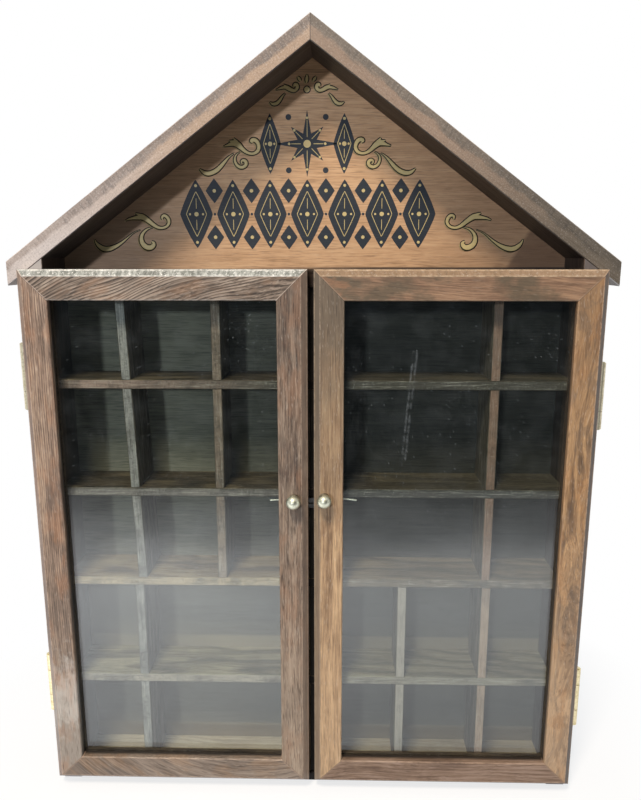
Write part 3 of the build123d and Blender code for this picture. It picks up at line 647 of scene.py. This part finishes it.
for i in range(8):
    t = math.pi * i / 4
    reach = 13.4 if i % 4 == 2 else 9.6
    rays.append([(ornament_x + r * math.cos(t), star_z + r * math.sin(t), w)
                 for r, w in ((3.8, .18), (6.6, .24), (reach, .16))])
    dots.append(disc(
        ornament_x + (reach + 1.1) * math.cos(t), star_z + (reach + 1.1) * math.sin(t), 0.75))
dots.append(disc(ornament_x, star_z, 2.2, 32))
bead_z = 434.3
dots.append(disc(ornament_x, bead_z, 1.6, 32))
print_shapes("crest_bead_outline", [disc(ornament_x, bead_z, 2.2, 32)], line_ink, 0.05)
print_shapes("navy_print", navy_shapes, navy_ink, 0.06)
print_strokes("gold_pin_lines", rays, gold_ink, 0.085)
print_strokes("gold_inlines", loops, gold_ink, 0.085, closed=True)
print_shapes("gold_dots", dots, gold_ink, 0.11)

# --- Doors ----------------------------
# Each frame is four mitred lengths of one moulding with a bevelled outer edge. Every length
# was cut from another board, so tone and figure change at the mitres; arrises are rubbed.
member_w, chamfer = 17.2, 3.5
arris_half_w, inner_wear = 0.42, 0.45    # of each rubbed line; of the inner arris, as a share
door_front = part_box("left_top_rail")[0][1] / mm


def frame_edges(side, bevel_tone, bevel_share, arris_tone, mitre_tone, crazed=None, points=0.0):
    """Mitres, bevel tone, walls painted dark as shade, rubbed arrises; crazed paint upper-bevel
    glints.
    """
    hinge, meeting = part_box(side + "_hinge_stile"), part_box(side + "_meeting_stile")
    x_range = (min(hinge[0][0], meeting[0][0]) / mm, max(hinge[1][0], meeting[1][0]) / mm)
    z_range = (hinge[0][2] / mm, hinge[1][2] / mm)
    half = ((x_range[1] - x_range[0]) / 2, (z_range[1] - z_range[0]) / 2)

    def coat(add, place, tone):
        local = add("Mapping", {
            "Vector": place, "Scale": per_mm,
            "Location": (-sum(x_range) / 2, -door_front, -sum(z_range) / 2)})
        away = add("VectorMath", {0: local}, "ABSOLUTE")
        inset = add("VectorMath", {0: (half[0], 0, half[1]), 1: away}, "SUBTRACT")
        parts = add("SeparateXYZ", {"Vector": inset}).outputs
        edge = add("Math", {0: parts["X"], 1: parts["Z"]}, "MINIMUM")
        depth = add("SeparateXYZ", {"Vector": local}).outputs["Y"]
        face = add("MapRange", {"Value": depth, "From Min": 0.5, "From Max": 0.15})
        blur = add("TexNoise", {"Vector": local, "Scale": 0.30, "Detail": 4.0, "Roughness": 0.65})
        # the bevel takes its own tone, and the inner wall next to the glass is painted darker with
        # depth, as shade in the rebate
        bevel = add("MapRange", {
            "Value": edge, "From Min": chamfer + 0.2, "From Max": chamfer - 0.2,
            "To Max": bevel_share})
        dirt = add("MapRange", {
            "Value": depth, "From Min": 2.2, "From Max": 4.3, "To Min": 0.1, "To Max": 0.93})
        wall = add("MapRange", {
            "Value": edge, "From Min": member_w - 0.15, "From Max": member_w - 0.05,
            "To Max": dirt})
        coats = [(bevel, bevel_tone), (wall, "#1c1713")]
        rub = add("MapRange", {
            "Value": blur, "From Min": 0.40, "From Max": 0.60, "To Min": 0.12, "To Max": 0.75})
        rub_face = add("Math", {0: rub, 1: face}, "MULTIPLY")
        rub_inner = add("Math", {0: rub_face, 1: inner_wear}, "MULTIPLY")
        for line, worn in ((0.35, rub), (chamfer, rub_face), (member_w - 0.4, rub_inner)):
            near = add("Math", {0: edge, 1: line, 2: arris_half_w}, "COMPARE")
            coats.append((add("Math", {0: near, 1: worn}, "MULTIPLY"), arris_tone))
        across = add("Math", {0: parts["X"], 1: parts["Z"]}, "SUBTRACT")
        for offset, half_line, most, line_tone in (
                (0.0, 0.28, 0.55, "#2e2620"), (0.45, 0.34, 0.65, mitre_tone)):
            mitre = add("Math", {0: across, 1: offset, 2: half_line}, "COMPARE")
            open_joint = add("MapRange", {
                "Value": blur, "From Min": 0.35, "From Max": 0.6, "To Min": 0.3 * most,
                "To Max": most})
            coats.append((add("Math", {0: mitre, 1: open_joint}, "MULTIPLY"), line_tone))
        if crazed:
            # the upper bevel is painted with dark and pale bars and white points, as glints on its
            # lacquer
            upper = add("Math", {0: edge, 1: chamfer + 0.15}, "LESS_THAN")
            bars = drawn_noise(add, local, (1, 0.3, 0.3), 0.34, 6.0, 0.8)
            stops = list(zip((0.36, 0.47, 0.56, 0.68), crazed))
            milk = add("ValToRGB", {"Fac": bars}, stops=stops)
            coats.insert(1, (add("Math", {0: upper, 1: 0.9}, "MULTIPLY"), milk))
            grit = add("TexNoise", {
                "Vector": local, "Scale": 0.8, "Detail": 3.0, "Roughness": 0.75})
            bright = add("MapRange", {
                "Value": grit, "From Min": 0.56, "From Max": 0.66, "To Max": points})
            coats.append((add("Math", {0: upper, 1: bright}, "MULTIPLY"), "#f8f6f0"))
        return lay(add, tone, coats)

    return coat


left_edges = frame_edges("left", "#5d4d43", 0.35, "#c9ad98", "#c4a48e")
right_edges = frame_edges("right", "#6b594a", 0.4, "#c3a286", "#a98d76")
member_looks = {
    "left_hinge_stile": dict(
    tones=("#665345", "#967c69", "#c0a58d"), turn=UPRIGHT, ring_share=0.25, ring_mm=1.25,
    pith=(60, 0), lean=0.01, patches=0.5, patch_tone="#5b4c44", patch_mm=14, worn=0.35,
    worn_tone="#b5805a",
    # the pale drift low on this stile is painted light on the lower door
    drifts=[("Z", 180, 120, "#6d655c", 0.32), ("Z", 98, 76, "#d6cdc2", 0.74),
    ("Z", 60, 40, "#847261", 0.55)], over_stain=left_edges),
    "left_meeting_stile": dict(
    tones=("#54453a", "#836e5d", "#ab9682"), turn=UPRIGHT, patches=0.55, patch_tone="#51453e",
    patch_mm=9, patch_length=5, pores=0.65, flecks=0.2, worn=0.3, worn_tone="#a87a5a",
    # the drifts paint its top darker as shade and its lower part paler as light
    drifts=[("Z", 220, 320, "#65564a", 0.45), ("Z", 150, 30, "#bba690", 0.45)],
    # its bevel faces away from the lamps and is painted pale, as light
    over_stain=frame_edges("left", "#8a786a", 0.5, "#a9937f", "#c9ad98")),
    "left_top_rail": dict(
    tones=("#463a31", "#806e5e", "#b3a08e"), sweep=(0.10, -0.0014), wave_mm=5.0,
    ring_share=0.46, ring_mm=1.8, pith=(70, 40), lean=0.02, patches=0.4, patch_tone="#55483d",
    patch_mm=16, worn=0.3, worn_tone="#b08460",
    # its near-white arris lines are partly rubbed and partly painted highlight; its upper bevel
    # gets painted glints
    over_stain=frame_edges("left", "#6d5b4f", 0.35, "#f0ebe2", "#d9c3b2",
    crazed=("#5c605b", "#82857f", "#aeb0aa", "#e4e3df"), points=0.9)),
    "left_bottom_rail": dict(
    tones=("#6b5d52", "#8c7b6c", "#a18f7f"), sweep=(0.33, 0.0044), wave_mm=1.2,
    ring_share=0.30, ring_mm=1.1, pith=(80, 0), lean=0.01, patches=0.4, patch_tone="#62554b",
    worn=0.2, over_stain=left_edges),
    "right_hinge_stile": dict(
    tones=("#8c6b4c", "#b08a63", "#c9a074"), turn=UPRIGHT, slant=1, wave_mm=7.0, patches=0.85,
    patch_tone="#503f33", patch_mm=5, patch_length=20.0, pores=0.25, worn=0.3,
    worn_tone="#c08a58",
    # the drifts paint its top darker as shade, its lower part paler as light, its outer edge
    # darker as shade
    drifts=[("Z", 222, 290, "#7c624b", 0.42), ("Z", 190, 60, "#d3b698", 0.5),
    ("X", 155, 163, "#6b5a4c", 0.45)],
    # its outer bevel is painted dark grey, as shade
    over_stain=frame_edges("right", "#4f4b46", 0.75, "#c3a286", "#a98d76")),
    "right_meeting_stile": dict(
    tones=("#8a6c50", "#bd9a76", "#dcb98f"), turn=UPRIGHT, patches=0.35, patch_tone="#7d6751",
    patch_mm=10, patch_length=7, pores=0.35,
    # the drifts paint its upper part darker as shade and its lower part paler as light
    drifts=[("Z", 180, 215, "#6e5c49", 0.42), ("Z", 235, 300, "#5f564a", 0.7),
    ("Z", 170, 50, "#dcb993", 0.4)],
    # its pale mitre line is partly a rubbed joint and partly painted glint
    over_stain=frame_edges("right", "#6c6359", 0.65, "#a8957f", "#dcd4cb")),
    "right_top_rail": dict(
    tones=("#7b5e49", "#98775d", "#ab8769"), slant=-4, wave_mm=2.0, patches=0.8,
    patch_tone="#5e5342", patch_mm=18, patch_length=1.6, pores=0.3, flecks=0.08,
    drifts=[("X", 20, 10, "#ab7c5b", 0.5)],
    # the bars and few white points on its upper bevel are painted glints
    over_stain=frame_edges("right", "#8f7459", 0.5, "#cbb092", "#ad927a",
    crazed=("#7b644d", "#8b7157", "#957a60", "#a68a6e"), points=0.18)),
    "right_bottom_rail": dict(
    tones=("#6a5344", "#8b715d", "#a18775"), wave_mm=4.0, ring_share=0.25, ring_mm=2.6,
    pith=(9, 0), lean=0.12, patches=0.35, patch_tone="#5e4a3f", pores=0.3, flecks=0.05,
    over_stain=right_edges),
}
for number, (member, look) in enumerate(member_looks.items(), start=21):
    dress(member, stained_wood("stained_" + member, seed=number, **look))
for number, side in enumerate(("left", "right"), start=29):
    dress(side + "_glazing_beads", stained_wood(
        "stained_" + side + "_beads", ("#3b2f27", "#5c4c40", "#75614f"), seed=number))

# --- Glass ----------------------------
# Clear 2 mm window glass, held from behind by the beads. It has not been cleaned: a thin
# cloudy bloom, many small specks of dust and lint, and one long scratch in the right pane.
glass_tint = "#f4f8f6"
cell_mm = 1.5    # at most one speck of dust in each


def window_glass(name, seed, thick_spots, scratch=None):
    """Clear glass, dustiest round thick_spots (x, z, radius); scratch is its two ends."""
    material, add = new_material(name)
    place = add("TexCoord").outputs["Object"]
    flat = add("VectorMath", {0: place, 1: (1 / mm, 0, 1 / mm)}, "MULTIPLY")
    facing = add("LayerWeight", {"Blend": 0.5}).outputs["Facing"]
    mirror = add("Math", {0: facing, 1: 5.0}, "POWER")
    mirror = add("Math", {0: mirror, 1: 0.92, 2: 0.085}, "MULTIPLY_ADD")
    clear = add("BsdfTransparent", {"Color": glass_tint})
    gloss = add("BsdfGlossy", {"Roughness": 0.02})
    pane = add("MixShader", {0: mirror, 1: clear, 2: gloss})
    thick = add("TexNoise", {"Vector": flat, "Scale": 0.025, "Detail": 2.0})
    thick = add("MapRange", {
        "Value": thick, "From Min": 0.35, "From Max": 0.70, "To Min": 0.12, "To Max": 0.42})
    for x, z, radius in thick_spots:
        away = add("VectorMath", {0: flat, 1: (x, 0, z)}, "DISTANCE")
        more = add("MapRange", {"Value": away, "From Min": radius, "From Max": 0, "To Max": 0.6})
        thick = add("Math", {0: thick, 1: more}, "ADD")
    shifted = add("VectorMath", {0: flat, 1: (seed, 0, 7.0)}, "ADD")
    cells = add("TexVoronoi", {"Vector": shifted, "Scale": 1 / cell_mm})
    speck = add("MapRange", {
        "Value": cells.outputs["Distance"], "From Min": 0.14, "From Max": 0.05})
    luck = add("SeparateXYZ", {"Vector": cells.outputs["Color"]}).outputs
    chosen = add("Math", {0: luck["X"], 1: thick}, "LESS_THAN")
    size = add("MapRange", {"Value": luck["Y"], "To Min": 0.02, "To Max": 0.45})
    dust = add("Math", {0: speck, 1: chosen}, "MULTIPLY")
    dust = add("Math", {0: dust, 1: size}, "MULTIPLY")
    if scratch:
        (top_x, top_z), (foot_x, foot_z) = scratch
        lean = math.atan2(top_x - foot_x, top_z - foot_z)
        along = add("VectorRotate", {
            "Vector": flat, "Center": (foot_x, 0, foot_z), "Angle": -lean}, rotation_type="Y_AXIS")
        parts = add("SeparateXYZ", {"Vector": along}).outputs
        length = math.hypot(top_x - foot_x, top_z - foot_z)
        within = add("Math", {0: parts["Z"], 1: foot_z + length / 2, 2: length / 2}, "COMPARE")
        broken = add("TexNoise", {"Vector": flat, "Scale": 0.25, "Detail": 4.0, "Roughness": 0.7})
        broken = add("MapRange", {
            "Value": broken, "From Min": 0.40, "From Max": 0.66, "To Max": 0.10})
        broken = add("Math", {0: within, 1: broken}, "MULTIPLY")
        for offset in (0.0, 1.9):
            beside = add("Math", {0: parts["X"], 1: foot_x + offset}, "SUBTRACT")
            beside = add("Math", {0: beside}, "ABSOLUTE")
            line = add("MapRange", {
                "Value": beside, "From Min": 1.0, "From Max": 0.2, "To Max": broken})
            dust = add("Math", {0: dust, 1: line}, "MAXIMUM")
    cloud = add("TexNoise", {"Vector": flat, "Scale": 0.07, "Detail": 4.0, "Roughness": 0.6})
    bloom = add("MapRange", {
        "Value": cloud, "From Min": 0.42, "From Max": 0.70, "To Min": 0.001, "To Max": 0.012})
    bloom = add("Math", {0: dust, 1: bloom}, "MAXIMUM")
    lint = add("BsdfDiffuse", {"Color": "#d9dde2"})
    pane = add("MixShader", {0: bloom, 1: pane, 2: lint})
    add("OutputMaterial", {"Surface": pane})
    return material


dress("left_glass", window_glass("dusty_left_pane", 3.0, [(-30, 306, 26), (-95, 215, 30)]))
dress("right_glass", window_glass(
    "dusty_right_pane", 61.0, [(24, 308, 24), (138, 298, 18), (70, 120, 30)],
    scratch=((58.8, 286.2), (53.5, 221.7))))

# --- Hinges ---------------------------
# Small butt hinges of stamped, brass-plated steel. The upper pair has dulled to olive; the
# lower pair has kept its pale yellow plate.


def metal(name, tone, dull_tone, roughness, spot_mm=1.6, share=0.6, dirty_y=None):
    """Bare or plated metal with dull spots and a little unevenness; painted dark as shade beyond
    dirty_y.
    """
    material, add = new_material(name)
    place = add("TexCoord").outputs["Object"]
    spots = add("TexNoise", {
        "Vector": place, "Scale": 1 / (spot_mm * mm), "Detail": 3.0, "Roughness": 0.6})
    dull = add("MapRange", {"Value": spots, "From Min": 0.42, "From Max": 0.64, "To Max": share})
    coats = [(dull, dull_tone)]
    if dirty_y:
        depth = add("SeparateXYZ", {"Vector": place}).outputs["Y"]
        dirt = add("MapRange", {
            "Value": depth, "From Min": dirty_y - 0.2 * mm, "From Max": dirty_y + 0.2 * mm,
            "To Max": 0.9})
        coats.append((dirt, "#4d4437"))
    rough = add("MapRange", {"Value": dull, "To Min": roughness, "To Max": roughness + 0.2})
    surface(add, spots, 0.2, 0.05 * mm, {
        "Base Color": lay(add, tone, coats), "Metallic": 1.0, "Roughness": rough})
    return material


bright_brass = metal("pale_brass_plate", "#eadcb2", "#b8a873", 0.30)
dull_brass = metal("dulled_brass_plate", "#d8cfb4", "#a79b78", 0.40)
for node_name in nodes:
    if node_name.endswith(("_leaf", "_pin", "hinge_screws")):
        dress(node_name, dull_brass if "upper" in node_name else bright_brass)

# --- Knobs and catch ------------------
# Turned ball knobs in dull nickel, painted dark at the foot as shade, on steel screws, and a
# magnetic catch behind the gap with a zinc-plated strike on each door; the zinc parts are
# painted dark grey, as shade in the gap.
nickel = metal("dull_nickel", "#d2d3bf", "#a9a994", 0.38, spot_mm=3.0, share=0.5,
               dirty_y=(door_front - 1.6) * mm)
# the zinc's dark grey tones are painted shade behind the gap
zinc = metal("zinc_plate", "#636464", "#47484a", 0.45)
for node_name in nodes:
    if node_name.endswith("_knob"):
        dress(node_name, nickel)
    elif node_name.startswith("catch_") or node_name.endswith(("_strike", "_knob_screw")):
        dress(node_name, zinc)

# --- Glazing pins ---------------------
# One headless wire pin in each door, level with the knob and driven through the bead into
# the meeting stile. Its bright end shows behind the pane.
pin_radius, pin_driven, pin_drop = 0.45, 3.5, 3.1
bright_wire = metal("bright_steel_wire", "#fbf8f0", "#e4dfd0", 0.6, share=0.3)
for side, outward, shown, tilt in (("left", -1, 5.8, -4), ("right", 1, 8.2, 7)):
    stile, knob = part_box(side + "_meeting_stile"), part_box(side + "_knob")
    sight_x = (stile[0] if side == "left" else stile[1])[0]
    bpy.ops.mesh.primitive_cylinder_add(
        vertices=16, radius=pin_radius * mm, depth=(shown + pin_driven) * mm,
        location=(sight_x + outward * (shown - pin_driven) / 2 * mm,
                  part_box(side + "_glass")[1][1] + pin_radius * mm,
                  (knob[0][2] + knob[1][2]) / 2 - pin_drop * mm),
        rotation=(0, math.radians(90 + tilt), 0))
    piece = bpy.context.object
    piece.name = side + "_glazing_pin"
    bpy.ops.object.transform_apply(location=True, rotation=True, scale=True)
    piece.data.materials.append(bright_wire)
    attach(piece, side + "_door")

# --- Fixings at the back --------------
# Steel brads round the panel and a sawtooth hanger under the ridge.
steel = metal("plain_steel", "#a8a6a2", "#77736d", 0.4)
for node_name in ("back_brads", "hanger_nails", "sawtooth_hanger"):
    dress(node_name, steel)

# --- Studio ---------------------------
# White table, a low cool light and a high warm one from the front left, and a dark room
# behind the camera that only the glass and the metal show.
table_front, table_back, table_side, table_z = -0.60, 1.6, 1.6, -0.0002


def sheet(name, corners, material):
    """A flat sheet from its four corners."""
    bpy.ops.mesh.primitive_plane_add(size=1)
    piece = bpy.context.object
    piece.name = name
    for vertex, corner in zip(piece.data.vertices, corners):
        vertex.co = corner
    piece.data.materials.append(material)
    return piece


def lamp(name, kind, energy, tone, aim):
    """A lamp that shines along aim."""
    piece = bpy.data.objects.new(name, bpy.data.lights.new(name, kind))
    piece.data.energy = energy
    piece.data.color = colour(tone)[:3]
    piece.rotation_euler = aim.to_track_quat("-Z", "Y").to_euler()
    bpy.context.scene.collection.objects.link(piece)
    return piece


material, add = new_material("white_table")
path = add("LightPath").outputs
place = add("TexCoord").outputs["Object"]
paper = add("BsdfDiffuse", {"Color": "#959595"})
glow = add("Emission", {"Color": "#ffffff", "Strength": 0.75})
lit_paper = add("AddShader", {0: paper, 1: glow})
white = add("Emission", {"Color": "#ffffff"})
reach = add("VectorMath", {0: place}, "LENGTH")
far = add("MapRange", {"Value": reach, "From Min": 0.20, "From Max": 0.30})
seen = add("MixShader", {0: far, 1: lit_paper, 2: white})
shown = add("MixShader", {0: path["Is Camera Ray"], 1: paper, 2: seen})
# in the panes the table is bright near the case, brightest on the left, and falls off
parts = add("SeparateXYZ", {"Vector": place}).outputs
ripple = add("TexNoise", {"Vector": place, "Scale": 7.0, "Detail": 3.0, "Roughness": 0.5})
ripple_y = add("Math", {0: ripple, 1: 0.16, 2: parts["Y"]}, "MULTIPLY_ADD")
near = add("MapRange", {"Value": ripple_y, "From Min": 0.08, "From Max": -0.52})
fall = add("ValToRGB", {"Fac": near}, stops=[
    (0.04, 0.60), (0.28, 0.80), (0.46, 0.93), (0.60, 0.76), (0.74, 0.41), (0.95, 0.17)])
left_bright = add("MapRange", {
    "Value": parts["X"], "From Min": 0.06, "From Max": -0.20, "To Min": 1.84, "To Max": 2.75})
glare = add("Math", {0: fall, 1: left_bright}, "MULTIPLY")
sheen = add("Emission", {"Color": "#eeeef2", "Strength": glare})
shown = add("MixShader", {0: path["Is Glossy Ray"], 1: shown, 2: sheen})
add("OutputMaterial", {"Surface": shown})
floor = sheet("studio_floor", [
    (x, y, table_z) for y in (table_front, table_back) for x in (-table_side, table_side)],
    material)

flag_y, flag_half, flag_low, flag_high = -1.9, 3.0, -2.0, 2.6
material, add = new_material("dark_room")
add("OutputMaterial", {"Surface": add("Emission", {"Color": "#2c3033"})})
flag = sheet("dark_room", [
    (x, flag_y, z) for z in (flag_low, flag_high) for x in (-flag_half, flag_half)], material)
for ray in ("camera", "diffuse", "transmission", "shadow"):
    setattr(flag, "visible_" + ray, False)

world = bpy.data.worlds.new("white_studio")
bpy.context.scene.world = world
world.use_nodes = True
world.node_tree.nodes.clear()
add = partial(add_node, world.node_tree)
path = add("LightPath").outputs
seen = path["Is Camera Ray"]
for ray in ("Is Glossy Ray", "Is Transmission Ray"):
    seen = add("Math", {0: seen, 1: path[ray]}, "MAXIMUM")
daylight = add("Background", {"Color": "#d6e6fa", "Strength": 0.31})
white = add("Background", {"Color": "#ffffff"})
sky = add("MixShader", {0: seen, 1: daylight, 2: white})
add("OutputWorld", {"Surface": sky})

key = lamp("key_lamp", "SUN", 1.08, "#eef5ff", Vector((0.336, 1.0, -0.223)))
key.data.angle = math.radians(4)
high_target, high_off, high_aim = Vector((0.02, panel_front, 0.33)), 1.6, (0.33, 1.0, -1.3)
high_place = high_target - high_off * Vector(high_aim).normalized()
high = lamp("high_lamp", "AREA", 24, "#fff1dc", high_target - high_place)
high.data.size = 0.36
high.location = high_place

# in mm and degrees: the camera's place, with camera_off in front of the doors, and its turn
camera_x, camera_off, camera_z = 14.53, 394.3, 340.3
camera_down, camera_left = 11.7, 1.28
camera = bpy.data.objects.new("camera", bpy.data.cameras.new("camera"))
camera.location = (camera_x * mm, (door_front - camera_off) * mm, camera_z * mm)
camera.rotation_euler = (math.radians(90 - camera_down), 0, math.radians(camera_left))
camera.data.lens = 31.725
camera.data.sensor_width = 36.0
camera.data.clip_start = 0.01
bpy.context.scene.collection.objects.link(camera)
bpy.context.scene.camera = camera
bpy.context.scene.view_settings.view_transform = "Standard"
